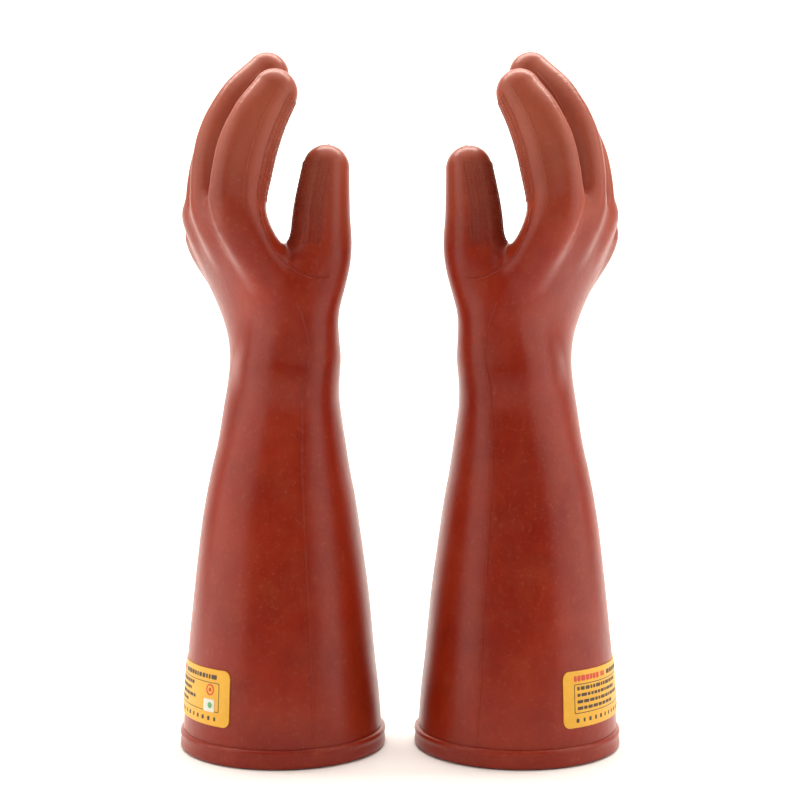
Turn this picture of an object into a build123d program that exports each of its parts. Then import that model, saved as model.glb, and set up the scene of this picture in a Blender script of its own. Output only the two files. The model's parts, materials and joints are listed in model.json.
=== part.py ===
from build123d import *
import os
from math import atan2, cos, degrees, radians, sin, tan

# A pair of moulded rubber insulating gloves standing on their cuffs, palms facing.
# Every piece is drawn in its glove's own frame: +X is the palm side and +Z up from the
# table. The thumb is on the -Y side of the left-hand glove and, as its mirror image, on the
# +Y side of the right-hand glove. Sizes below are the left hand's, in millimetres.

# ---- driving dimensions ----
WALL = 2.3  # rubber thickness
GAP = 0.7  # clearance below the round knuckles
SETBACK = 1.8  # extra room at the mouth of every flex joint, so that its inner edge clears too
MOUTH_SHARE = 0.64  # least distance from a joint to its parent's rim, by the joint's depth
STEP = 0.2  # round knuckles are this much smaller than the tube they end
HALF_SPACING = 67.3  # from the middle of the pair to each cuff's centre
PAIR_SHIFT = (-0.58, 3.27)  # puts the middle of the pair's footprint at the origin
# sign of the hand's Y and turn of the glove about its own upright axis
SIDES = {"left": (1, 24.0), "right": (-1, 180 - 28.5)}

# gauntlet: height, centre in X, half depth (X), half width (Y)
GAUNTLET = [
    (0, 0, 57.0, 59.0),
    (26, -0.5, 55.6, 58.0),
    (87, -1.0, 50.0, 51.5),
    (139, -1.5, 43.0, 45.0),
    (173, -1.0, 36.0, 42.0),
    (198, -0.7, 31.7, 42.3),
]
# hand: height, centre in X, half depth, half width
PALM = [
    (210, -0.5, 30.0, 42.5),
    (245, -7.0, 28.2, 48.5),
    (275, -26.0, 25.5, 53.0),
    (300, -39.5, 22.5, 56.0),
]
# ball of the thumb: height, centre in X, centre in Y, half depth, half width
THENAR = [
    (214, -2.0, -20.0, 26.0, 22.0),
    (240, 2.5, -30.0, 20.5, 18.0),
    (261.5, 6.2, -37.0, 17.2, 16.0),
]

# wrist joint: place, half depth and half width of the rubber there
WRIST = {"at": (-0.5, 0.0, 210.0), "depth": 30.0, "width": 42.5}
# finger: knuckle place, lengths and leans of its three segments, half depths and half widths
# at the knuckle, two joints and tip, and each joint's bend towards the palm side and back
FINGERS = {
    "index": {
        "knuckle": (-38.5, -39.5, 296.0),
        "lengths": (28.5, 23.0, 19.0),
        "leans": (5, 19, 33),
        "depths": (13.8, 15.6, 14.6, 12.4),
        "widths": (12.2, 12.1, 11.9, 11.4),
        "bends": ((18, 20), (18, 15), (11, 9)),
    },
    "middle": {
        "knuckle": (-41.5, -13.0, 300.0),
        "lengths": (34.5, 28.5, 24.0),
        "leans": (3, 22, 38),
        "depths": (13.8, 15.8, 14.6, 12.3),
        "widths": (12.1, 12.0, 11.8, 11.4),
        "bends": ((40, 20), (45, 15), (27, 9)),
    },
    "ring": {
        "knuckle": (-38.5, 13.2, 297.0),
        "lengths": (32.0, 26.0, 22.0),
        "leans": (4, 22, 36),
        "depths": (13.4, 15.0, 14.0, 12.1),
        "widths": (12.1, 12.0, 11.7, 11.2),
        "bends": ((40, 20), (45, 15), (27, 9)),
    },
    "little": {
        "knuckle": (-33.0, 39.0, 289.0),
        "lengths": (25.0, 20.0, 17.0),
        "leans": (5, 20, 32),
        "depths": (12.6, 13.2, 12.3, 11.1),
        "widths": (11.8, 11.4, 11.0, 10.6),
        "bends": ((40, 20), (45, 15), (27, 9)),
    },
}
THUMB_POINTS = [(9.0, -41.0, 276.0), (9.3, -41.0, 301.0), (10.8, -41.0, 322.5)]
THUMB_DEPTHS = (12.6, 14.8, 13.0)
THUMB_WIDTHS = (13.0, 14.4, 12.6)
THUMB_BENDS = ((25, 10), (15, 25))
FINGER_LINES = (-80.0, -26.2, 0.1, 26.2, 80.0)  # Y of the gaps between the knuckles

WRIST_OVERLAP = 4.0  # how far the wrist bore reaches up into the hand
BEAD_HEIGHT = 9.0
BEAD_DEPTH = 1.9
LABEL_THICKNESS = 0.6
LABEL_SIZE = (73.0, 30.0)
LABEL_CORNER = 4.0
LABEL_HEIGHT = 35.0  # middle of the label above the table
SEAL_THICKNESS = 0.25
SEAL_SIZE = (8.6, 6.7)
SEAL_CORNER = 0.8
SEAL_PLACE = (-21.5, 31.0)  # Y and Z of the seal's middle

os.makedirs("parts", exist_ok=True)


def oval(plane, half_depth, half_width):
    """Elliptical section on a plane whose X is the palm side."""
    with BuildSketch(plane) as section:
        Ellipse(half_depth, half_width)
    return section.sketch


def level(height, centre_x, centre_y=0.0):
    """Horizontal plane at a height, centred on the rubber there."""
    return Plane((centre_x, centre_y, height))


def half_oval(plane, half_depth, half_width, side):
    """Half of an ellipse, on the palm side (1) or the back side (-1) of the hinge line.

    Turned half way round the hinge line, the palm half makes a bowl below the plane and
    the back half a dome above it.
    """
    with BuildSketch(plane) as section:
        Ellipse(half_depth, half_width)
        with Locations((-side * half_depth, 0)):
            Rectangle(2 * half_depth, 4 * half_width, mode=Mode.SUBTRACT)
    return section.sketch


def hinge_line(place):
    """The axis a segment turns about, across the fingers."""
    return Axis(place, (0, 1, 0))


def direction(start, end):
    """Plane at the start of a segment with Z along it and X on the palm side."""
    along = (end[0] - start[0], end[1] - start[1], end[2] - start[2])
    return Plane(start, x_dir=(along[2], 0, -along[0]), z_dir=along)


def mouth(joint, lean, bend_plane):
    """Plane that the parent rubber stays below, so that the joint can bend both ways."""
    least = MOUTH_SHARE * joint["depth"]
    palm_side = max(joint["depth"] * tan(radians(joint["flex"] + lean) / 2) + SETBACK, least)
    back_side = max(joint["depth"] * tan(radians(joint["back"] - lean) / 2) + SETBACK, least)
    tilt = degrees(atan2(palm_side - back_side, 2 * joint["depth"]))
    middle = (palm_side + back_side) / 2
    return bend_plane.offset(-middle).rotated((0, tilt, 0))


def segment(start, end, lean_change, is_tip):
    """One zone of a finger or thumb between two flex joints, as a hollow tube.

    Its near end is a round knuckle that turns in its neighbour, and its far end is
    either a closed dome or a socket for the next knuckle.
    """
    base = direction(start["at"], end["at"])
    length = (Vector(*end["at"]) - Vector(*start["at"])).length
    tip = base.offset(length)
    with BuildPart() as tube:
        loft([oval(base, start["depth"], start["width"]), oval(tip, end["depth"], end["width"])])
        bowl = half_oval(base, start["depth"] - STEP, start["width"] - STEP, 1)
        revolve(bowl, axis=hinge_line(start["at"]), revolution_arc=180)
        if is_tip:
            dome = half_oval(tip, end["depth"] - STEP, end["width"] - STEP, -1)
            revolve(dome, axis=hinge_line(end["at"]), revolution_arc=180)
        near_bore = oval(base, start["depth"] - WALL, start["width"] - WALL)
        far_bore = oval(tip, end["depth"] - WALL, end["width"] - WALL)
        loft([near_bore, far_bore], mode=Mode.SUBTRACT)
        extrude(near_bore, amount=-start["depth"], mode=Mode.SUBTRACT)
        if is_tip:
            inner_depth, inner_width = end["depth"] - WALL - STEP, end["width"] - WALL - STEP
            hollow = half_oval(tip, inner_depth, inner_width, -1)
            revolve(hollow, axis=hinge_line(end["at"]), revolution_arc=180, mode=Mode.SUBTRACT)
        else:
            with BuildSketch(mouth(end, lean_change, tip)) as beyond:
                Rectangle(4 * end["depth"], 4 * end["width"])
            extrude(beyond.sketch, amount=3 * end["depth"], mode=Mode.SUBTRACT)
    return tube.part


def chain(finger, hand):
    """Joints of a finger from its knuckle to its tip."""
    x, y, z = finger["knuckle"]
    joints = []
    for index in range(4):
        flex, back = finger["bends"][index] if index < 3 else (0, 0)
        depth, width = finger["depths"][index], finger["widths"][index]
        joints.append(
            {"at": (x, hand * y, z), "depth": depth, "width": width, "flex": flex, "back": back}
        )
        if index < 3:
            lean = radians(finger["leans"][index])
            x += finger["lengths"][index] * sin(lean)
            z += finger["lengths"][index] * cos(lean)
    return joints


def thumb_chain(hand):
    """Joints of the thumb from its root to its tip."""
    bends = THUMB_BENDS + ((0, 0),)
    rows = zip(THUMB_POINTS, THUMB_DEPTHS, THUMB_WIDTHS, bends)
    return [
        {"at": (x, hand * y, z), "depth": depth, "width": width, "flex": bend[0], "back": bend[1]}
        for (x, y, z), depth, width, bend in rows
    ]


def lean_between(first, second):
    """Angle of a segment from upright, towards the palm side."""
    across = second["at"][0] - first["at"][0]
    up = second["at"][2] - first["at"][2]
    return degrees(atan2(across, up))


def sections(rows, extra):
    """Level sections of the sleeve or the hand, grown outwards by extra."""
    return [
        oval(level(height, centre), depth + extra, width + extra)
        for height, centre, depth, width in rows
    ]


def thenar_sections(extra, hand):
    """Level sections of the ball of the thumb, grown outwards by extra."""
    return [
        oval(level(z, x, hand * y), depth + extra, width + extra)
        for z, x, y, depth, width in THENAR
    ]


def gauntlet():
    """Flared sleeve from the table to the wrist, open at both ends."""
    with BuildPart() as sleeve:
        loft(sections(GAUNTLET, 0))
        loft(sections(GAUNTLET, -WALL), mode=Mode.SUBTRACT)
    return sleeve.part


def cuff_bead():
    """Thickened rim round the open end, with a rounded top edge."""
    _, centre, depth, width = GAUNTLET[0]
    with BuildPart() as bead:
        extrude(oval(level(0, centre), depth + BEAD_DEPTH, width + BEAD_DEPTH), amount=BEAD_HEIGHT)
        fillet(bead.edges().group_by(Axis.Z)[-1], BEAD_DEPTH * 0.6)
        loft(sections(GAUNTLET, 0), mode=Mode.SUBTRACT)
    return bead.part


def cuff_patch(size, corner, middle, inner, outer):
    """Thin rectangular patch that follows the back of the cuff."""
    with BuildPart() as patch:
        with BuildSketch(Plane((0, *middle), x_dir=(0, -1, 0), z_dir=(-1, 0, 0))) as outline:
            RectangleRounded(*size, corner)
        extrude(outline.sketch, amount=GAUNTLET[0][2] + 10)
        loft(sections(GAUNTLET, outer), mode=Mode.INTERSECT)
        loft(sections(GAUNTLET, inner), mode=Mode.SUBTRACT)
    return patch.part


def palm_cavity(hand):
    """The space inside the hand, open down through the wrist."""
    with BuildPart() as cavity:
        loft(sections(PALM, -WALL))
        loft(thenar_sections(-WALL, hand))
        start = Plane(WRIST["at"]).offset(WRIST_OVERLAP)
        bore = oval(start, WRIST["depth"] - WALL - STEP, WRIST["width"] - WALL - STEP)
        extrude(bore, amount=-WRIST["depth"] - WRIST_OVERLAP)
    return cavity.part


def palm(knuckles, hand):
    """Hollow hand with a round wrist end, cut off level below each knuckle."""
    cavity = palm_cavity(hand)
    with BuildPart() as shell:
        loft(sections(PALM, 0))
        loft(thenar_sections(0, hand))
        wrist = Plane(WRIST["at"])
        bowl = half_oval(wrist, WRIST["depth"] - STEP, WRIST["width"] - STEP, 1)
        revolve(bowl, axis=hinge_line(WRIST["at"]), revolution_arc=180)
        add(cavity, mode=Mode.SUBTRACT)
        for knuckle, low, high in zip(knuckles, FINGER_LINES, FINGER_LINES[1:]):
            x, _, z = knuckle["at"]
            top = level(z - knuckle["depth"] - GAP, x, hand * (low + high) / 2)
            with BuildSketch(top) as beyond:
                Rectangle(6 * knuckle["depth"], high - low)
            extrude(beyond.sketch, amount=2 * knuckle["depth"], mode=Mode.SUBTRACT)
    return shell.part


def glove(hand):
    """All the pieces of one glove; hand is 1 for the left hand and -1 for the right."""
    chains = {name: chain(finger, hand) for name, finger in FINGERS.items()}
    knuckles = [joints[0] for joints in chains.values()]
    chains["thumb"] = thumb_chain(hand)
    seal_y, seal_z = SEAL_PLACE
    seal_outside = LABEL_THICKNESS + SEAL_THICKNESS
    pieces = {
        "gauntlet": gauntlet(),
        "cuff_bead": cuff_bead(),
        "label": cuff_patch(LABEL_SIZE, LABEL_CORNER, (0, LABEL_HEIGHT), 0, LABEL_THICKNESS),
        "label_seal": cuff_patch(
            SEAL_SIZE, SEAL_CORNER, (hand * seal_y, seal_z), LABEL_THICKNESS, seal_outside
        ),
        "palm": palm(knuckles, hand),
    }
    for name, joints in chains.items():
        zones = ("base", "tip") if name == "thumb" else ("root", "middle", "tip")
        for index, zone in enumerate(zones):
            start, end = joints[index], joints[index + 1]
            is_tip = index == len(zones) - 1
            lean_change = 0
            if not is_tip:
                lean_change = lean_between(end, joints[index + 2]) - lean_between(start, end)
            pieces[f"{name}_{zone}"] = segment(start, end, lean_change, is_tip)
    return pieces


for side, (hand, turn) in SIDES.items():
    for name, piece in glove(hand).items():
        centre = (PAIR_SHIFT[0] - hand * HALF_SPACING, PAIR_SHIFT[1], 0)
        placed = piece.moved(Location(centre, (0, 0, turn)))
        placed.label = f"{side}_{name}"
        export_step(placed, f"parts/{placed.label}.step")
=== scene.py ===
import json
import math

import bpy
import numpy as np
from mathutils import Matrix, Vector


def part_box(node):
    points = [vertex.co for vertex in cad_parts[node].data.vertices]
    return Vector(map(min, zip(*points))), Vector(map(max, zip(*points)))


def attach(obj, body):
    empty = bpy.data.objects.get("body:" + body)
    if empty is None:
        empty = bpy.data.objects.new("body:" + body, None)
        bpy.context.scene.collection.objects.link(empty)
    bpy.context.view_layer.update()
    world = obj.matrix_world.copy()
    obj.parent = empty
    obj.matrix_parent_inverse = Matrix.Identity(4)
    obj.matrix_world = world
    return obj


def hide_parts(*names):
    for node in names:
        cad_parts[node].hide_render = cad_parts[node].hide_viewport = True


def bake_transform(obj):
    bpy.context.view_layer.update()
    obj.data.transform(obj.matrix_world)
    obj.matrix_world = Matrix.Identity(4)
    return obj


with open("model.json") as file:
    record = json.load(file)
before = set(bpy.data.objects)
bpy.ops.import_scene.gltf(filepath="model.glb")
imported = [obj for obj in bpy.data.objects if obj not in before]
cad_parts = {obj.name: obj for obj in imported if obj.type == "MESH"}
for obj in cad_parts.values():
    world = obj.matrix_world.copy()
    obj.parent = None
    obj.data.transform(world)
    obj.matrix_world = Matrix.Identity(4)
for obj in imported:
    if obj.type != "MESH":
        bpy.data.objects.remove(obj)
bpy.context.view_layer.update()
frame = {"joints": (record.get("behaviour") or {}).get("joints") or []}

import openvdb
from mathutils import Vector

MM = 0.001

# ---------------------------------------------------------------- the gloves' own frame
# Every shape is worked out once, in millimetres, for the left-hand glove in its own frame:
# +X palm side, -Y thumb side, +Z up. The joints in the frame give the places.
SIDES = ("left", "right")
FINGERS = ("index", "middle", "ring", "little")
JOINTS = {joint["name"]: joint for joint in frame["joints"]}


def side_frame(side):
    """Centre of a glove's cuff in millimetres, its turn, and +1 for left or -1 for mirrored."""
    low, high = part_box(side + "_cuff_bead")
    centre = ((low + high) / 2) / MM
    axis = JOINTS[side + "_wrist_bend"]["axis"]
    hand = 1 if side == "left" else -1
    return centre.x, centre.y, math.atan2(-axis[0], hand * axis[1]), hand


PLACES = {side: side_frame(side) for side in SIDES}


def to_world(points, side):
    """Left-hand glove points in millimetres to the row's frame in metres."""
    x0, y0, turn, hand = PLACES[side]
    points = np.asarray(points, float)
    x = points[..., 0] * math.cos(turn) - points[..., 1] * math.sin(turn)
    y = points[..., 0] * math.sin(turn) + points[..., 1] * math.cos(turn)
    return np.stack([(hand * x + x0) * MM, (y + y0) * MM, points[..., 2] * MM], -1)


def turn_to_world(vectors, side):
    """Directions in the left-hand glove's frame, turned into the row's frame."""
    _, _, turn, hand = PLACES[side]
    x = vectors[..., 0] * math.cos(turn) - vectors[..., 1] * math.sin(turn)
    y = vectors[..., 0] * math.sin(turn) + vectors[..., 1] * math.cos(turn)
    return np.stack([hand * x, y, vectors[..., 2]], -1)


def joint_place(name):
    """A left-hand joint's place in the glove's own frame, in millimetres."""
    x0, y0, turn, _ = PLACES["left"]
    px, py, pz = [value / MM for value in JOINTS["left_" + name]["pos_m"]]
    dx, dy = px - x0, py - y0
    x = dx * math.cos(turn) + dy * math.sin(turn)
    y = -dx * math.sin(turn) + dy * math.cos(turn)
    return np.array([x, y, pz])


WALL = 2.3
WRIST = joint_place("wrist_bend")

# sleeve and hand: height, centre in X, half depth, half width, squareness
BODY = [
    (-8, 0, 57.2, 59.2, 2.0),
    (26, -0.5, 55.6, 58.0, 2.0),
    (52, -1.0, 53.3, 55.5, 2.0),
    (87, -1.0, 50.0, 51.5, 2.0),
    (121, -1.5, 45.8, 47.0, 2.0),
    (139, -1.5, 43.0, 45.0, 2.0),
    (156, -1.5, 39.6, 43.0, 2.0),
    (173, -1.0, 36.0, 42.0, 2.0),
    (191, -1.0, 32.8, 42.0, 2.0),
    (208, -0.5, 30.2, 42.5, 2.0),
    (222, 0.0, 29.2, 44.0, 2.05),
    (236, -3.5, 27.0, 45.5, 2.05),
    (251, -10.5, 24.6, 47.0, 2.05),
    (269, -21.0, 21.6, 49.0, 2.1),
    (286, -31.5, 18.2, 50.0, 2.2),
    (304, -39.5, 16.4, 50.0, 2.4),
    (330, -43.0, 16.0, 50.0, 2.6),
]
# finger: half depths and half widths at root, knuckle, joints and tip; tip length and lean
DIGITS = {
    "index": ((10.0, 14.6, 16.2, 15.0, 12.6), (9.0, 12.0, 12.1, 11.9, 11.2), 20.5, 30.0),
    "middle": ((10.0, 14.8, 16.2, 14.8, 12.2), (9.0, 12.0, 12.0, 11.8, 11.1), 24.6, 38.0),
    "ring": ((9.0, 13.6, 15.2, 14.2, 12.0), (9.0, 12.0, 12.0, 11.7, 11.0), 22.0, 36.0),
    "little": ((7.5, 12.3, 13.4, 12.5, 11.1), (8.5, 11.6, 11.4, 11.0, 10.4), 17.0, 32.0),
}
ROOT_DEPTH = 30.0
THUMB_BASE = [(-3.0, -19.0, 214.0), (2.5, -31.0, 245.0)]
THUMB_TIP = (10.9, -41.0, 324.4)
THUMB_DEPTHS = (23.0, 18.2, 17.6, 15.6, 13.0)
THUMB_WIDTHS = (22.0, 17.0, 15.3, 14.6, 12.7)
TOP_LEVEL = 308.0
LITTLE_DROP = 13.0
WEB_BLEND = 6.0
THUMB_BLEND = 13.0
SPINE_STEPS = 7


def smooth_rows(rows, steps):
    """Catmull-Rom curve through rows of numbers, as many rows of samples."""
    rows = np.asarray(rows, float)
    first, last = 2 * rows[0] - rows[1], 2 * rows[-1] - rows[-2]
    padded = np.vstack([first, rows, last])
    out = []
    for k in range(len(rows) - 1):
        a, b, c, d = padded[k : k + 4]
        for t in np.arange(steps) / steps:
            out.append(
                0.5 * (2 * b + (c - a) * t + (2 * a - 5 * b + 4 * c - d) * t**2
                       + (3 * b - a - 3 * c + d) * t**3)
            )
    out.append(rows[-1])
    return np.array(out)


BODY_CURVE = smooth_rows(BODY, 8)


def digit_rows(name):
    """Spine of a finger or the thumb: rows of x, y, z, half depth, half width."""
    if name == "thumb":
        places = THUMB_BASE + [joint_place("thumb_root_joint") - [1.9, 0, 0]]
        places.append(joint_place("thumb_tip_joint") - [0.8, 0, 0])
        places.append(THUMB_TIP)
        depths, widths = THUMB_DEPTHS, THUMB_WIDTHS
    else:
        depths, widths, length, lean = DIGITS[name]
        kinds = ("_knuckle", "_middle_joint", "_tip_joint")
        knuckle, middle, last = [joint_place(name + kind) for kind in kinds]
        lean = math.radians(lean)
        tip = last + length * np.array([math.sin(lean), 0, math.cos(lean)])
        root = knuckle + np.array([ROOT_DEPTH * 0.55, -knuckle[1] * 0.06, -ROOT_DEPTH])
        places = [root, knuckle, middle, last, tip]
    rows = [(*place, depth, width) for place, depth, width in zip(places, depths, widths)]
    return smooth_rows(rows, SPINE_STEPS)


SPINES = {name: digit_rows(name) for name in (*FINGERS, "thumb")}


# ---------------------------------------------------------------- distance to the rubber
def smooth_min(a, b, width):
    h = np.clip(0.5 + 0.5 * (b - a) / width, 0, 1)
    return b + (a - b) * h - width * h * (1 - h)


def oval_distance(across, along, depth, width):
    """About how far a point is outside an ellipse."""
    k0 = np.sqrt((across / depth) ** 2 + (along / width) ** 2)
    k1 = np.sqrt((across / depth**2) ** 2 + (along / width**2) ** 2)
    return k0 * (k0 - 1) / np.maximum(k1, 1e-6)


def digit_distance(p, spine):
    """Distance to an oval tube along a spine, round at both ends."""
    best = np.full(len(p), 1e9)
    across, along = np.zeros(len(p)), np.zeros(len(p))
    depth, width = np.ones(len(p)), np.ones(len(p))
    for a, b in zip(spine, spine[1:]):
        line = np.array([b[0] - a[0], b[2] - a[2]])
        t = ((p[:, 0] - a[0]) * line[0] + (p[:, 2] - a[2]) * line[1]) / (line @ line)
        t = np.clip(t, 0, 1)
        near = a[None, :] + t[:, None] * (b - a)[None, :]
        gap = np.hypot(p[:, 0] - near[:, 0], p[:, 2] - near[:, 2])
        closer = gap < best
        best = np.where(closer, gap, best)
        across = np.where(closer, gap, across)
        along = np.where(closer, p[:, 1] - near[:, 1], along)
        depth = np.where(closer, near[:, 3], depth)
        width = np.where(closer, near[:, 4], width)
    return oval_distance(across, along, depth, width)


def body_distance(p):
    """Distance to the sleeve and hand without fingers, closed over at the knuckles."""
    z = p[:, 2]
    centre, depth, width, power = [
        np.interp(z, BODY_CURVE[:, 0], BODY_CURVE[:, k]) for k in (1, 2, 3, 4)
    ]
    u = np.abs(p[:, 0] - centre) / depth + 1e-6
    v = np.abs(p[:, 1]) / width + 1e-6
    k0 = (u**power + v**power) ** (1 / power)
    pull = k0 ** (1 - power)
    k1 = np.hypot(u ** (power - 1) * pull / depth, v ** (power - 1) * pull / width)
    side = (k0 - 1) / k1
    drop = LITTLE_DROP * np.clip((p[:, 1] - 18) / 12, 0, 1) ** 2
    top = z - (TOP_LEVEL - drop)
    return -smooth_min(-side, -top, 10.0)


def rubber(p):
    """Distance to one glove's outer surface, negative inside."""
    hand = smooth_min(body_distance(p), thumb_distance(p), THUMB_BLEND)
    high = p[:, 2] > 250
    if not high.any():
        return hand
    out = hand.copy()
    q, base = p[high], hand[high]
    best = base.copy()
    for name in FINGERS:
        spine = SPINES[name]
        near = np.abs(q[:, 1] - spine[-1, 1]) < 30
        tube = digit_distance(q[near], spine)
        best[near] = np.minimum(best[near], smooth_min(base[near], tube, WEB_BLEND))
    out[high] = best
    return out


def thumb_distance(p):
    out = np.full(len(p), 60.0)
    near = (p[:, 2] > 180) & (p[:, 1] < 12)
    out[near] = digit_distance(p[near], SPINES["thumb"])
    return out


def slope(p, reach=0.4):
    """Outward direction of the rubber's surface near each point."""
    g = np.empty_like(p)
    for k in range(3):
        step = np.zeros(3)
        step[k] = reach
        g[:, k] = rubber(p + step) - rubber(p - step)
    return g / (2 * reach)


def onto_surface(p, rounds=3):
    """Moves points along the slope until they lie on the rubber."""
    p = np.array(p, float)
    for _ in range(rounds):
        g = slope(p)
        size = np.maximum((g**2).sum(1), 0.05)
        p -= np.clip(rubber(p) / size, -4, 4)[:, None] * g
    return p


def outward(p):
    g = slope(p)
    return g / np.maximum(np.linalg.norm(g, axis=1), 1e-9)[:, None]


# ---------------------------------------------------------------- one glove's mesh
LOW, HIGH = np.array([-66.0, -66.0, -5.0]), np.array([66.0, 66.0, 400.0])
VOXEL = 1.45
INNER_VOXEL = 2.9


def skin(voxel, inset, low, high):
    """Quads of the surface that lies inset inside the rubber's outer face."""
    counts = np.ceil((high - low) / voxel).astype(int)
    axes = [low[k] + voxel * np.arange(counts[k]) for k in range(3)]
    x, y, z = np.meshgrid(*axes, indexing="ij")
    p = np.stack([x.ravel(), y.ravel(), z.ravel()], 1)
    values = (rubber(p) + inset).reshape(x.shape).astype(np.float32)
    grid = openvdb.FloatGrid(30.0)
    grid.copyFromArray(np.ascontiguousarray(np.clip(values, -30, 30)))
    points, quads = grid.convertToQuads(0.0)
    return points.astype(float) * voxel + low, quads.astype(int)


def zone_of(centres):
    """Which digit each face belongs to: 0 for sleeve and hand, 1 to 4 for fingers, 5 for thumb."""
    zone = np.zeros(len(centres), int)
    y, z = centres[:, 1], centres[:, 2]
    for k, name in enumerate(FINGERS):
        spine_y = SPINES[name][-1, 1]
        edges = [-99.0, *((FINGER_Y[:-1] + FINGER_Y[1:]) / 2), 99.0]
        inside = (y > edges[k]) & (y <= edges[k + 1]) & (z > CUTS[name])
        zone[inside] = k + 1
    near = (z > CUTS["thumb"]) & (centres[:, 0] > -25) & (y < -18)
    q = centres[near]
    rest = np.minimum(body_distance(q), digit_distance(q, SPINES["index"]))
    rest = np.minimum(rest, digit_distance(q, SPINES["middle"]))
    thumb = digit_distance(q, SPINES["thumb"]) < rest
    zone[np.flatnonzero(near)[thumb]] = 5
    return zone


FINGER_Y = np.array([SPINES[name][-1, 1] for name in FINGERS])
CUTS = {"index": 303.0, "middle": 304.0, "ring": 303.0, "little": 294.5, "thumb": 283.0}
SHARES = {"root": 0.72, "middle": 0.55}


def digit_zones(name):
    """Pieces of a digit: name, lower body, upper body, blend start and end, upper border."""
    kinds = ("_root_joint", "_tip_joint") if name == "thumb" else (
        "_knuckle", "_middle_joint", "_tip_joint")
    bodies = ("base", "tip") if name == "thumb" else ("root", "middle", "tip")
    places = [joint_place(name + kind) for kind in kinds] + [SPINES[name][-1, :3]]
    pieces = []
    below, start = "palm", None
    for k, body in enumerate(bodies):
        here, above = places[k], places[k + 1]
        along = (above - here) / np.linalg.norm(above - here)
        length = np.linalg.norm(above - here)
        if k == 0:
            start = here + along * (CUTS[name] - here[2]) / along[2]
            end = here + along * length * 0.70
        else:
            end = here + along * length * 0.50
        border = None
        if k < len(bodies) - 1:
            share = SHARES["root"] if k == 0 else SHARES["middle"]
            border = (here + along * length * share, along)
        upper = name + "_" + body
        pieces.append((upper, below, upper, start, end, border))
        below = upper
        start = border[0] if border else None
    return pieces


def sort_faces(centres, zone):
    """Name of the piece each face goes to."""
    labels = np.zeros(len(centres), int)
    names = ["hand"]
    for k, name in enumerate((*FINGERS, "thumb")):
        mine = zone == k + 1
        level = np.zeros(len(centres), int)
        zones = digit_zones(name)
        for piece in zones[:-1]:
            place, along = piece[5]
            level += ((centres - place) @ along > 0).astype(int)
        for n, piece in enumerate(zones):
            labels[mine & (level == n)] = len(names)
            names.append(piece[0])
    return labels, names


class Surface:
    """Points, outward directions and faces gathered for one glove, in its own frame."""

    def __init__(self):
        self.points, self.normals, self.faces, self.tags = [], [], [], []
        self.count = 0

    def add(self, points, normals, faces, tags):
        self.points.append(points)
        self.normals.append(normals)
        self.faces.extend(tuple(i + self.count for i in face) for face in faces)
        self.tags.extend(tags)
        self.count += len(points)


def outer_skin():
    points, quads = skin(VOXEL, 0.0, LOW, HIGH)
    points = onto_surface(points)
    normals = outward(points)
    a, b, c = points[quads[:, 0]], points[quads[:, 1]], points[quads[:, 2]]
    facing = (np.cross(b - a, c - a) * normals[quads[:, 0]]).sum(1)
    if np.median(facing) < 0:
        quads = quads[:, ::-1]
    centres = points[quads].mean(1)
    keep = centres[:, 2] > 1.0
    return points, normals, quads[keep], centres[keep]


def inner_skin():
    points, quads = skin(INNER_VOXEL, WALL, LOW, np.array([66.0, 66.0, 300.0]))
    normals = -outward(points)
    a, b, c = points[quads[:, 0]], points[quads[:, 1]], points[quads[:, 2]]
    facing = (np.cross(b - a, c - a) * normals[quads[:, 0]]).sum(1)
    if np.median(facing) < 0:
        quads = quads[:, ::-1]
    centres = points[quads].mean(1)
    keep = (centres[:, 2] > 1.5) & (centres[:, 2] < 292)
    return points, normals, quads[keep]


def ridge(path, width, height):
    """Low rounded rib on the rubber along a path, as points, directions and faces."""
    path = onto_surface(path)
    n = outward(path)
    t = np.gradient(path, axis=0)
    t /= np.maximum(np.linalg.norm(t, axis=1), 1e-9)[:, None]
    s = np.cross(n, t)
    turns = np.linspace(-0.5, 0.5, 7) * math.pi
    taper = np.clip(np.minimum(np.arange(len(path)), np.arange(len(path))[::-1]) / 4, 0, 1)
    rings, normals = [], []
    for angle in turns:
        lift = (math.cos(angle) * height * taper - 0.12)[:, None]
        rings.append(path + s * math.sin(angle) * width / 2 + n * lift)
        normals.append(n * math.cos(angle) + s * math.sin(angle))
    points = np.stack(rings, 1).reshape(-1, 3)
    directions = np.stack(normals, 1).reshape(-1, 3)
    faces, m = [], len(turns)
    for i in range(len(path) - 1):
        for j in range(m - 1):
            a = i * m + j
            faces.append((a, a + m, a + m + 1, a + 1))
    return points, directions, faces


def spine_at(name, share):
    """Place, direction and palm-side normal on a digit's spine, share 0 knuckle to 1 tip."""
    spine = SPINES[name][SPINE_STEPS:, :3]
    reach = np.concatenate([[0], np.cumsum(np.linalg.norm(np.diff(spine, axis=0), axis=1))])
    at = np.clip(share, 0, 1) * reach[-1]
    place = np.stack([np.interp(at, reach, spine[:, k]) for k in range(3)], -1)
    ahead = np.stack([np.interp(at + 1, reach, spine[:, k]) for k in range(3)], -1)
    back = np.stack([np.interp(at - 1, reach, spine[:, k]) for k in range(3)], -1)
    along = ahead - back
    along /= np.linalg.norm(along, axis=-1)[..., None]
    palm = np.stack([along[..., 2], np.zeros_like(along[..., 0]), -along[..., 0]], -1)
    return place, along, palm


def cast(origins, directions, reach):
    """Where rays from inside the rubber leave it."""
    low, high = np.zeros(len(origins)), np.full(len(origins), float(reach))
    for _ in range(14):
        middle = (low + high) / 2
        inside = rubber(origins + directions * middle[:, None]) < 0
        low, high = np.where(inside, middle, low), np.where(inside, high, middle)
    return origins + directions * low[:, None]


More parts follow.
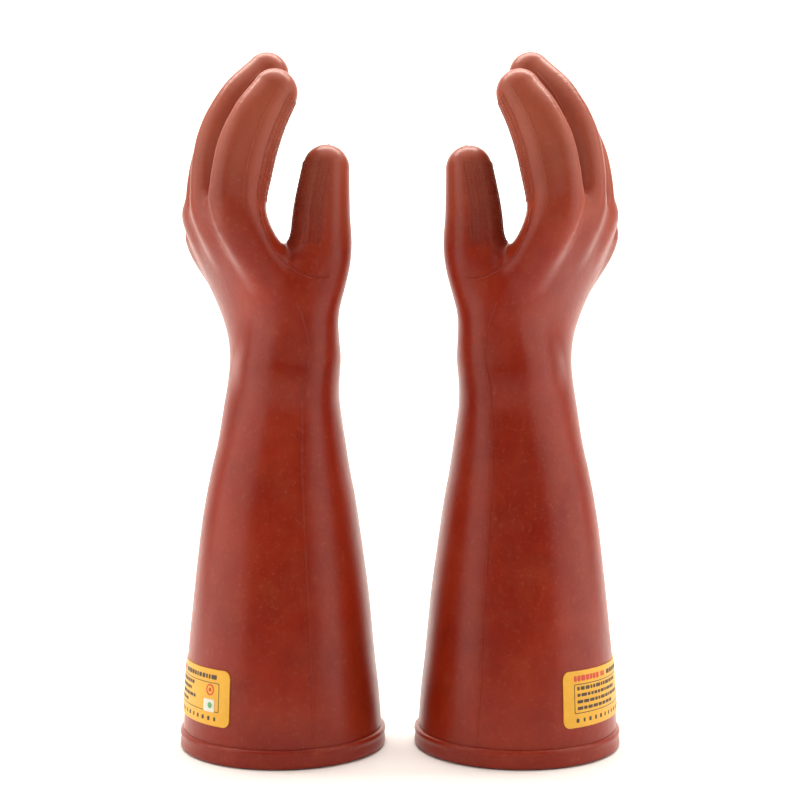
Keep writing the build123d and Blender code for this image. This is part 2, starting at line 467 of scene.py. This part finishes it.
def seam_paths():
    """The mould's parting ridge and the ribs beside it, as rough paths and sizes."""
    heights = np.linspace(11, 254, 60)
    curve = BODY_CURVE
    centre = np.interp(heights, curve[:, 0], curve[:, 1])
    width = np.interp(heights, curve[:, 0], curve[:, 3])
    front = np.stack([centre - 2.5 + 4 * np.clip((heights - 205) / 50, 0, 1), -width, heights], 1)
    paths = [(front, 1.2, 0.55)]
    heights = np.linspace(11, 288, 64)
    centre = np.interp(heights, curve[:, 0], curve[:, 1])
    width = np.interp(heights, curve[:, 0], curve[:, 3])
    paths.append((np.stack([centre - 2.5, width, heights], 1), 1.1, 0.42))
    paths.append((smooth_rows(CROTCH, 16), 1.5, 0.6))
    for name, side in (("index", -1), ("little", 1)):
        share = np.linspace(0.0, 1.02, 50)
        place, along, palm = spine_at(name, share)
        paths.append((place + np.array([0, side * 11.5, 0]) - palm * 1.0, 1.0, 0.4))
    for name in FINGERS:
        share = np.linspace(0.12, 0.97, 44)
        place, along, palm = spine_at(name, share)
        for side in (-1, 1):
            if (name, side) not in (("index", -1), ("little", 1)):
                paths.append((place + np.array([0, side * 11.0, 0]) - palm * 5.0, 0.9, 0.3))
    return paths


CROTCH = [
    (9.0, -57.0, 262.0),
    (0.0, -54.0, 262.0),
    (-10.0, -52.0, 266.0),
    (-20.0, -52.0, 275.0),
    (-27.0, -52.0, 288.0),
    (-29.0, -52.0, 300.0),
]


def nib(name):
    """Small moulding nib on the very tip of a digit."""
    tip = SPINES[name][-1, :3]
    _, along, _ = spine_at(name, np.array([1.0])) if name != "thumb" else (0, np.array([[0.1, 0, 1.0]]), 0)
    top = cast(tip[None, :], along / np.linalg.norm(along), 30)[0]
    axis = along[0] / np.linalg.norm(along[0])
    side = np.array([0.0, 1.0, 0.0])
    third = np.cross(axis, side)
    points, normals, faces, turns, rings = [], [], [], 12, 5
    for i in range(rings):
        lift = math.pi / 2 * i / (rings - 1)
        for j in range(turns):
            turn = 2 * math.pi * j / turns
            across = side * math.cos(turn) * 2.2 + third * math.sin(turn) * 1.1
            normal = across * math.cos(lift) / 2 + axis * math.sin(lift)
            points.append(top + across * math.cos(lift) + axis * (math.sin(lift) * 1.1 - 0.5))
            normals.append(normal / np.linalg.norm(normal))
    for i in range(rings - 1):
        for j in range(turns):
            a, b = i * turns + j, i * turns + (j + 1) % turns
            faces.append((a, b, b + turns, a + turns))
    return np.array(points), np.array(normals), faces


GRIP_PITCH = 1.75
GRIP_SIZE = 1.3
GRIP_HEIGHT = 0.5


def grip_centres():
    """Rays that place the grip squares: palm side of the fingers, thumb and palm."""
    origins, directions = [], []
    for name in FINGERS:
        spine = SPINES[name][SPINE_STEPS:, :3]
        length = np.linalg.norm(np.diff(spine, axis=0), axis=1).sum()
        shares = np.arange(0.10 * length, 1.02 * length, GRIP_PITCH) / length
        offsets = np.arange(-9, 9.01, GRIP_PITCH)
        s, o = [v.ravel() for v in np.meshgrid(shares, offsets, indexing="ij")]
        place, along, palm = spine_at(name, s)
        origins.append(place + o[:, None] * np.array([0, 0.9, 0]))
        directions.append(palm + o[:, None] * np.array([0, 0.035, 0]))
    heights = np.arange(280, 327, GRIP_PITCH)
    offsets = np.arange(-14, 10.6, GRIP_PITCH)
    z, o = [v.ravel() for v in np.meshgrid(heights, offsets, indexing="ij")]
    spine = SPINES["thumb"]
    x = np.interp(z, spine[:, 2], spine[:, 0])
    y = np.interp(z, spine[:, 2], spine[:, 1])
    origins.append(np.stack([x, y + 0.8 * o, z], 1))
    directions.append(np.stack([-np.ones_like(z), 0.04 * o, 0.1 + 0 * z], 1))
    heights = np.arange(224, 296, GRIP_PITCH)
    offsets = np.arange(-20, 44, GRIP_PITCH)
    z, o = [v.ravel() for v in np.meshgrid(heights, offsets, indexing="ij")]
    x = np.interp(z, BODY_CURVE[:, 0], BODY_CURVE[:, 1])
    origins.append(np.stack([x, o, z], 1))
    directions.append(np.stack([np.ones_like(z), 0 * z, 0 * z], 1))
    origins, directions = np.vstack(origins), np.vstack(directions)
    return origins, directions / np.linalg.norm(directions, axis=1)[:, None]


def grip():
    """Small raised squares, each a low frustum on the rubber."""
    origins, directions = grip_centres()
    centres = cast(origins, directions, 45)
    n = outward(centres)
    facing = (n * directions).sum(1) > 0.55
    centres, n = centres[facing], n[facing]
    up = np.array([0.0, 0.0, 1.0])
    s = np.cross(np.array([0.0, 1.0, 0.0]), n)
    s /= np.linalg.norm(s, axis=1)[:, None]
    t = np.cross(n, s)
    corners = []
    for half, lift in ((GRIP_SIZE / 2, -0.15), (GRIP_SIZE / 2 * 0.78, GRIP_HEIGHT)):
        for a, b in ((-1, -1), (1, -1), (1, 1), (-1, 1)):
            corners.append(centres + half * (a * s + b * t) + lift * n)
    points = np.stack(corners, 1).reshape(-1, 3)
    normals = np.repeat(n, 8, axis=0)
    ring = np.stack([s * a + t * b for a, b in ((-1, -1), (1, -1), (1, 1), (-1, 1))], 1)
    normals = normals.reshape(-1, 8, 3)
    normals[:, :4] += 1.0 * ring
    normals[:, 4:] += 0.3 * ring
    normals = normals.reshape(-1, 3)
    normals /= np.linalg.norm(normals, axis=1)[:, None]
    faces = []
    for k in range(len(centres)):
        a = 8 * k
        faces.append((a + 4, a + 5, a + 6, a + 7))
        for j in range(4):
            i = (j + 1) % 4
            faces.append((a + j, a + i, a + 4 + i, a + 4 + j))
    return points, normals, faces, centres


def build_glove():
    """All rubber of one glove, with every face named by the piece it belongs to."""
    surface = Surface()
    points, normals, quads, centres = outer_skin()
    labels, names = sort_faces(centres, zone_of(centres))
    surface.add(points, normals, quads, labels.tolist())
    points, normals, quads = inner_skin()
    surface.add(points, normals, quads, [0] * len(quads))
    extras = [ridge(*path) for path in seam_paths()]
    extras += [nib(name) for name in (*FINGERS, "thumb")]
    for points, normals, faces in extras:
        middles = np.array([points[list(face)].mean(0) for face in faces])
        labels, _ = sort_faces(middles, zone_of(middles))
        surface.add(points, normals, faces, labels.tolist())
    points, normals, faces, middles = grip()
    labels, _ = sort_faces(middles, zone_of(middles))
    surface.add(points, normals, faces, np.repeat(labels, 5).tolist())
    return np.vstack(surface.points), np.vstack(surface.normals), surface.faces, surface.tags, names


# ---------------------------------------------------------------- materials
def new_material(name):
    material = bpy.data.materials.new(name)
    material.use_nodes = True
    nodes, links = material.node_tree.nodes, material.node_tree.links
    return material, nodes, links, nodes["Principled BSDF"]


def noise(nodes, links, coords, scale, detail=4.0, rough=0.55):
    node = nodes.new("ShaderNodeTexNoise")
    node.inputs["Scale"].default_value = scale
    node.inputs["Detail"].default_value = detail
    node.inputs["Roughness"].default_value = rough
    links.new(coords, node.inputs["Vector"])
    return node.outputs["Fac"]


def ramp(nodes, links, source, stops):
    node = nodes.new("ShaderNodeValToRGB")
    links.new(source, node.inputs["Fac"])
    elements = node.color_ramp.elements
    while len(elements) < len(stops):
        elements.new(0.5)
    for element, (place, colour) in zip(elements, stops):
        element.position = place
        element.color = (*colour, 1) if len(colour) == 3 else colour
    return node.outputs["Color"]


def mix(nodes, links, factor, a, b):
    node = nodes.new("ShaderNodeMix")
    node.data_type = "RGBA"
    if isinstance(factor, float):
        node.inputs[0].default_value = factor
    else:
        links.new(factor, node.inputs[0])
    for socket, value in ((node.inputs[6], a), (node.inputs[7], b)):
        if isinstance(value, tuple):
            socket.default_value = (*value, 1)
        else:
            links.new(value, socket)
    return node.outputs[2]


def rubber_material():
    """Moulded red-brown rubber: cloudy colour, powder bloom, painted sheen towards the outline, a paler
    top that is partly painted highlight and partly powder bloom, scratches and grain.
    """
    material, nodes, links, shader = new_material("moulded_rubber")
    coords = nodes.new("ShaderNodeTexCoord").outputs["Object"]
    clouds = noise(nodes, links, coords, 22.0, 6.0, 0.6)
    base = ramp(nodes, links, clouds, [(0.3, (0.17, 0.007, 0.0004)), (0.7, (0.245, 0.014, 0.0013))])
    speck = noise(nodes, links, coords, 420.0, 3.0, 0.7)
    specks = ramp(nodes, links, speck, [(0.56, (0, 0, 0)), (0.74, (1, 1, 1))])
    bloom = noise(nodes, links, coords, 55.0, 8.0, 0.68)
    bloom = ramp(nodes, links, bloom, [(0.42, (0, 0, 0)), (0.8, (0.22, 0.22, 0.22))])
    # Painted sheen: the colour lightens toward the outline, where the surface turns away from the view,
    # standing in for a grazing highlight.
    facing = nodes.new("ShaderNodeLayerWeight")
    facing.inputs["Blend"].default_value = 0.35
    edge = ramp(nodes, links, facing.outputs["Facing"], [(0.35, (0, 0, 0)), (0.95, (0.12, 0.12, 0.12))])
    colour = mix(nodes, links, bloom, base, (0.36, 0.075, 0.025))
    colour = mix(nodes, links, edge, colour, (0.42, 0.12, 0.06))
    dust = nodes.new("ShaderNodeMath")
    dust.operation = "MULTIPLY"
    links.new(specks, dust.inputs[0])
    dust.inputs[1].default_value = 0.12
    colour = mix(nodes, links, dust.outputs[0], colour, (0.45, 0.2, 0.13))
    # Painted highlight, partly powder bloom: the colour turns paler above about 0.28 to 0.34 m, over the
    # hand and fingers, standing in for the brighter light on the upper parts.
    place = nodes.new("ShaderNodeSeparateXYZ")
    links.new(coords, place.inputs[0])
    painted_top_highlight_and_bloom = ramp(nodes, links, place.outputs["Z"], [(0.275, (0, 0, 0)), (0.34, (0.3, 0.3, 0.3))])
    colour = mix(nodes, links, painted_top_highlight_and_bloom, colour, (0.55, 0.19, 0.11))
    links.new(colour, shader.inputs["Base Color"])
    scratch_map = nodes.new("ShaderNodeMapping")
    scratch_map.inputs["Scale"].default_value = (9.0, 9.0, 0.6)
    scratch_map.inputs["Rotation"].default_value = (0.25, 0.35, 0.0)
    links.new(coords, scratch_map.inputs["Vector"])
    scratches = noise(nodes, links, scratch_map.outputs["Vector"], 90.0, 2.0, 0.8)
    rough = ramp(nodes, links, bloom, [(0.0, (0.3, 0.3, 0.3)), (1.0, (0.5, 0.5, 0.5))])
    rough = mix(nodes, links, 0.22, rough, ramp(
        nodes, links, scratches, [(0.4, (0.25, 0.25, 0.25)), (0.65, (0.75, 0.75, 0.75))]))
    links.new(rough, shader.inputs["Roughness"])
    grain = noise(nodes, links, coords, 900.0, 3.0, 0.6)
    waves = noise(nodes, links, coords, 45.0, 3.0, 0.5)
    bump = nodes.new("ShaderNodeBump")
    bump.inputs["Strength"].default_value = 0.12
    bump.inputs["Distance"].default_value = 0.0004
    links.new(grain, bump.inputs["Height"])
    swell = nodes.new("ShaderNodeBump")
    swell.inputs["Strength"].default_value = 0.25
    swell.inputs["Distance"].default_value = 0.0012
    links.new(waves, swell.inputs["Height"])
    links.new(swell.outputs["Normal"], bump.inputs["Normal"])
    links.new(bump.outputs["Normal"], shader.inputs["Normal"])
    shader.inputs["Specular IOR Level"].default_value = 0.22
    shader.inputs["Coat Weight"].default_value = 0.1
    shader.inputs["Coat Roughness"].default_value = 0.28
    return material


def print_material(name, colour, worn, roughness):
    """Printed or plastic surface with slight mottling and fading."""
    material, nodes, links, shader = new_material(name)
    coords = nodes.new("ShaderNodeTexCoord").outputs["Object"]
    clouds = noise(nodes, links, coords, 160.0, 5.0, 0.6)
    links.new(ramp(nodes, links, clouds, [(0.3, colour), (0.75, worn)]), shader.inputs["Base Color"])
    rough = ramp(nodes, links, clouds, [(0.2, (roughness,) * 3), (0.8, (roughness + 0.15,) * 3)])
    links.new(rough, shader.inputs["Roughness"])
    grain = noise(nodes, links, coords, 700.0, 2.0, 0.5)
    bump = nodes.new("ShaderNodeBump")
    bump.inputs["Strength"].default_value = 0.1
    bump.inputs["Distance"].default_value = 0.0003
    links.new(grain, bump.inputs["Height"])
    links.new(bump.outputs["Normal"], shader.inputs["Normal"])
    return material


RUBBER = rubber_material()
YELLOW = print_material("label_yellow", (0.66, 0.33, 0.004), (0.72, 0.39, 0.015), 0.35)
DARK_INK = print_material("ink_dark", (0.035, 0.02, 0.01), (0.09, 0.05, 0.02), 0.5)
RED_INK = print_material("ink_red", (0.5, 0.035, 0.01), (0.58, 0.07, 0.02), 0.45)
SEAL_GREY = print_material("seal_grey", (0.55, 0.57, 0.5), (0.72, 0.74, 0.66), 0.4)
GREEN_INK = print_material("ink_green", (0.08, 0.3, 0.1), (0.14, 0.4, 0.16), 0.45)


# ---------------------------------------------------------------- objects
def make_object(name, points, faces, normals, side, material):
    """A mesh in the row's frame from left-hand points; the right-hand one is turned inside out."""
    hand = PLACES[side][3]
    if hand < 0:
        faces = [tuple(reversed(face)) for face in faces]
    mesh = bpy.data.meshes.new(name)
    mesh.from_pydata(to_world(points, side).tolist(), [], [tuple(map(int, f)) for f in faces])
    mesh.polygons.foreach_set("use_smooth", [True] * len(mesh.polygons))
    mesh.materials.append(material)
    mesh.update()
    if normals is not None:
        mesh.normals_split_custom_set_from_vertices(turn_to_world(normals, side).tolist())
    obj = bpy.data.objects.new(name, mesh)
    bpy.context.scene.collection.objects.link(obj)
    return obj


def split_glove(side, points, normals, faces, tags, names):
    """One object per piece of rubber."""
    zones = {"hand": ("gauntlet", "palm", WRIST - [0, 0, 14], WRIST + [0, 0, 16])}
    for digit in (*FINGERS, "thumb"):
        for upper, below, body, start, end, _ in digit_zones(digit):
            zones[upper] = (below, body, start, end)
    tags = np.array(tags)
    for k, name in enumerate(names):
        mine = [faces[i] for i in np.flatnonzero(tags == k)]
        used = np.unique(np.concatenate([np.asarray(f) for f in mine]))
        index = np.full(len(points), -1)
        index[used] = np.arange(len(used))
        local = [tuple(index[list(f)]) for f in mine]
        title = side + ("_glove_body" if name == "hand" else "_" + name + "_skin")
        obj = make_object(title, points[used], local, normals[used], side, RUBBER)
        below, body, start, end = zones[name]
        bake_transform(obj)
        if name == "hand":
            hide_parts(side + "_gauntlet", side + "_palm")
        else:
            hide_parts(side + "_" + name)


def cuff_bead(side):
    """Rolled rim: flat foot, bulged band and a rounded ridge on its top edge."""
    profile = [(-2.5, 5.0), (-2.45, 0.6), (-2.1, 0.1), (-1.0, 0.0), (0.6, 0.0), (1.3, 0.35), (1.6, 1.2),
               (1.55, 3.0), (1.35, 5.2), (1.4, 6.4), (1.85, 7.2), (2.1, 8.2), (1.9, 9.2), (1.2, 9.9),
               (0.5, 10.1), (-0.3, 10.1)]
    turns = 200
    points, faces = [], []
    for i in range(turns):
        turn = 2 * math.pi * i / turns
        for lift, z in profile:
            depth = np.interp(z, BODY_CURVE[:, 0], BODY_CURVE[:, 2]) + lift
            width = np.interp(z, BODY_CURVE[:, 0], BODY_CURVE[:, 3]) + lift
            points.append((depth * math.cos(turn), width * math.sin(turn), z))
    m = len(profile)
    for i in range(turns):
        for j in range(m - 1):
            a, b = i * m + j, ((i + 1) % turns) * m + j
            faces.append((a, b, b + 1, a + 1))
    obj = make_object(side + "_cuff_bead_rim", np.array(points), faces, None, side, RUBBER)
    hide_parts(side + "_cuff_bead")
    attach(obj, side + "_gauntlet")


# ---------------------------------------------------------------- the label and its print
LABEL_MIDDLE = 35.0
LABEL_WIDE, LABEL_TALL = 78.5, 30.0
LABEL_THICK = 0.55
INK_THICK = 0.12


def wrapped(u, v, lift):
    """Point on the cuff's back; u runs to the right along it, v up from the label's middle."""
    z = LABEL_MIDDLE + v
    depth = np.interp(z, BODY_CURVE[:, 0], BODY_CURVE[:, 2])
    width = np.interp(z, BODY_CURVE[:, 0], BODY_CURVE[:, 3])
    turn = math.pi + u / 56.5
    centre = np.interp(z, BODY_CURVE[:, 0], BODY_CURVE[:, 1])
    return np.stack([centre + (depth + lift) * np.cos(turn), (width + lift) * np.sin(turn), z], -1)


def rounded_box(cu, cv, wide, tall, corner, steps=6):
    """Outline of a rounded rectangle with extra points along its long sides."""
    out = []
    for k, (su, sv) in enumerate(((1, 1), (-1, 1), (-1, -1), (1, -1))):
        for i in range(steps + 1):
            turn = math.pi / 2 * (k + i / steps)
            out.append((cu + su * (wide / 2 - corner) + corner * math.cos(turn),
                        cv + sv * (tall / 2 - corner) + corner * math.sin(turn)))
        nu, nv = ((-1, 1), (-1, -1), (1, -1), (1, 1))[k]
        a = np.array(out[-1])
        b = np.array((cu + nu * (wide / 2 - corner) + corner * math.cos(math.pi / 2 * (k + 1)),
                      cv + nv * (tall / 2 - corner) + corner * math.sin(math.pi / 2 * (k + 1))))
        gaps = max(2, int(np.linalg.norm(b - a) / 1.6))
        out.extend(tuple(a + (b - a) * i / gaps) for i in range(1, gaps))
    return np.array(out)


def patch(outline, lift, thick, hole=None):
    """Thin raised patch inside an outline, or a ring between it and a hole."""
    middle = outline.mean(0)
    inner = hole if hole is not None else middle + (outline - middle) * 0.0
    layers = 1 if hole is not None else max(2, int(np.ptp(outline, axis=0).max() / 5))
    rings = [outline + (inner - outline) * k / layers for k in range(layers + 1)]
    rows = [wrapped(rings[0][:, 0], rings[0][:, 1], lift - 0.02)]
    rows += [wrapped(r[:, 0], r[:, 1], lift + thick) for r in rings]
    if hole is not None:
        rows.append(wrapped(rings[-1][:, 0], rings[-1][:, 1], lift - 0.02))
    n = len(outline)
    points = np.vstack(rows)
    faces = []
    for k in range(len(rows) - 1):
        for i in range(n):
            j = (i + 1) % n
            faces.append((k * n + i, k * n + j, (k + 1) * n + j, (k + 1) * n + i))
    return points, faces


def flat_faces(groups):
    """Joins several patches into one list of points and faces."""
    points, faces, count = [], [], 0
    for p, f in groups:
        points.append(p)
        faces += [tuple(i + count for i in face) for face in f]
        count += len(p)
    return np.vstack(points), faces


def bars(row_v, tall, spans, lift):
    """Blocks that stand for words, as (from, to) along the label."""
    return [patch(rounded_box((a + b) / 2, row_v, b - a, tall, tall * 0.22, 2), lift, INK_THICK)
            for a, b in spans]


def words(start, stop, seed, short=1.4, long=4.2, gap=0.8):
    """Uneven word lengths that fill a line."""
    random = np.random.default_rng(seed)
    spans, at = [], start
    while at < stop - short:
        length = min(random.uniform(short, long), stop - at)
        spans.append((at, at + length))
        at += length + gap
    return spans


def circle(cu, cv, radius, count=36):
    turn = np.arange(count) * 2 * math.pi / count
    return np.stack([cu + radius * np.cos(turn), cv + radius * np.sin(turn)], 1)


def label(side):
    """The cuff's yellow label with plain blocks in place of its print."""
    hand = PLACES[side][3]
    ink = LABEL_THICK
    left = -LABEL_WIDE / 2
    dark, red = [], []
    red += bars(11.0, 3.0, words(left + 7, left + 27, 3, 1.8, 3.4, 0.5), ink)
    red += bars(11.0, 2.6, [(left + 29.0, left + 33.0)], ink)
    dark += bars(11.0, 2.4, words(left + 36, left + 70, 5), ink)
    frame_out = rounded_box(left + 39.2, 0.2, 64.5, 15.6, 0.8, 3)
    frame_in = left + 39.2 + (frame_out[:, 0] - left - 39.2) * (1 - 0.7 / 64.5), 0.2 + (
        frame_out[:, 1] - 0.2) * (1 - 0.7 / 15.6)
    dark.append(patch(frame_out, ink, INK_THICK, np.stack(frame_in, 1)))
    for k, (stop, tall) in enumerate(((50.0, 1.9), (46.0, 1.7), (51.0, 1.7), (42.0, 1.7))):
        dark += bars(5.6 - 3.5 * k, tall, words(left + 9, left + stop, 11 + k), ink)
    dark += bars(-11.3, 2.2, words(left + 8, left + 70, 31, 1.2, 2.0, 3.0), ink)
    ring = (LABEL_WIDE / 2 - 14.0, 4.0)
    red.append(patch(circle(*ring, 3.1), ink, INK_THICK, circle(*ring, 2.3)))
    red.append(patch(circle(*ring, 1.1), ink, INK_THICK))
    seal_box = rounded_box(LABEL_WIDE / 2 - 14.5, -4.4, 8.6, 6.7, 0.8, 3)
    dot = circle(LABEL_WIDE / 2 - 13.6, -4.2, 1.6, 24)
    base = [patch(rounded_box(0, 0, LABEL_WIDE, LABEL_TALL, 4.0), 0.02, LABEL_THICK)]
    parts = (
        ("_label_sheet", base, YELLOW, "label", ("_label",)),
        ("_label_print_dark", dark, DARK_INK, "label", ()),
        ("_label_print_red", red, RED_INK, "label", ()),
        ("_label_seal_sheet", [patch(seal_box, ink, 0.2)], SEAL_GREY, "seal", ("_label_seal",)),
        ("_label_seal_dot", [patch(dot, ink + 0.2, 0.1)], GREEN_INK, "seal", ()),
    )
    for title, groups, material, slot, nodes in parts:
        points, faces = flat_faces(groups)
        if hand > 0:
            faces = [tuple(reversed(face)) for face in faces]
        else:
            points = points * np.array([1, -1, 1])
        obj = make_object(side + title, points, faces, None, side, material)
        sharp = obj.modifiers.new("edges", "EDGE_SPLIT")
        sharp.split_angle = math.radians(40)
        for node in nodes:
            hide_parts(side + node)
        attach(obj, side + "_gauntlet")


glove = build_glove()
for side in SIDES:
    split_glove(side, *glove)
    cuff_bead(side)
    label(side)


# ---------------------------------------------------------------- stage, light and camera
def stage_floor():
    """Pale floor that sweeps up into a backdrop."""
    turns = np.linspace(0, math.pi / 2, 40)
    bend = [(0.5 + 0.6 * math.sin(turn), 0.6 - 0.6 * math.cos(turn)) for turn in turns]
    points = [(-1.6, 0.0), *bend, (1.1, 1.9)]
    verts, faces = [], []
    for y, z in points:
        verts += [(-2.2, y, z - 0.0005), (2.2, y, z - 0.0005)]
    for k in range(len(points) - 1):
        faces.append((2 * k, 2 * k + 1, 2 * k + 3, 2 * k + 2))
    mesh = bpy.data.meshes.new("floor")
    mesh.from_pydata(verts, [], faces)
    mesh.polygons.foreach_set("use_smooth", [True] * len(mesh.polygons))
    material, nodes, links, shader = new_material("pale_floor")
    coords = nodes.new("ShaderNodeTexCoord").outputs["Object"]
    cloud = noise(nodes, links, coords, 3.0)
    links.new(ramp(nodes, links, cloud, [(0.3, (0.86, 0.86, 0.86)), (0.7, (0.88, 0.88, 0.88))]),
              shader.inputs["Base Color"])
    shader.inputs["Roughness"].default_value = 0.9
    shader.inputs["Specular IOR Level"].default_value = 0.1
    mesh.materials.append(material)
    floor = bpy.data.objects.new("floor", mesh)
    bpy.context.scene.collection.objects.link(floor)


SOFTBOX_TINT = (1.0, 0.92, 0.84)


def area_light(name, place, aim, size, power):
    data = bpy.data.lights.new(name, "AREA")
    data.shape = "RECTANGLE"
    data.size, data.size_y = size
    data.energy = power
    data.color = SOFTBOX_TINT
    lamp = bpy.data.objects.new(name, data)
    bpy.context.scene.collection.objects.link(lamp)
    lamp.location = place
    lamp.rotation_euler = (Vector(aim) - Vector(place)).to_track_quat("-Z", "Y").to_euler()


def light_scene():
    world = bpy.data.worlds.new("studio")
    bpy.context.scene.world = world
    world.use_nodes = True
    nodes, links = world.node_tree.nodes, world.node_tree.links
    background = nodes["Background"]
    background.inputs["Color"].default_value = (1, 1, 1, 1)
    rays = nodes.new("ShaderNodeLightPath")
    level = nodes.new("ShaderNodeMapRange")
    level.inputs["To Min"].default_value = 0.06
    level.inputs["To Max"].default_value = 1.0
    links.new(rays.outputs["Is Camera Ray"], level.inputs["Value"])
    links.new(level.outputs["Result"], background.inputs["Strength"])
    middle = (0, 0, 0.2)
    area_light("softbox_left", (-0.82, -0.2, 0.42), middle, (0.95, 1.1), 7.6)
    area_light("softbox_right", (0.82, -0.2, 0.42), middle, (0.95, 1.1), 7.6)
    area_light("softbox_front", (0, -1.2, 0.68), (0, 0, 0.3), (1.0, 0.3), 1.6)
    area_light("top", (0, -0.15, 1.1), middle, (1.0, 0.8), 4.0)
    area_light("backdrop_light", (0, 0.35, 1.3), (0, 0.95, 0.2), (1.8, 0.6), 40.0)


# the camera stands level with the middle of the gloves' height, square on to the pair
CAMERA_DISTANCE = 0.735
CAMERA_HEIGHT = 0.1965
FOCAL_LENGTH = 57.24


def place_camera():
    x_left, y_left, _, _ = PLACES["left"]
    x_right, y_right, _, _ = PLACES["right"]
    data = bpy.data.cameras.new("camera")
    data.lens = FOCAL_LENGTH
    data.sensor_width = 36.0
    camera = bpy.data.objects.new("camera", data)
    bpy.context.scene.collection.objects.link(camera)
    camera.location = ((x_left + x_right) / 2 * MM, (y_left + y_right) / 2 * MM - CAMERA_DISTANCE,
                       CAMERA_HEIGHT)
    camera.rotation_euler = (math.radians(90), 0, 0)
    bpy.context.scene.camera = camera


stage_floor()
light_scene()
place_camera()
bpy.context.scene.view_settings.view_transform = "Standard"
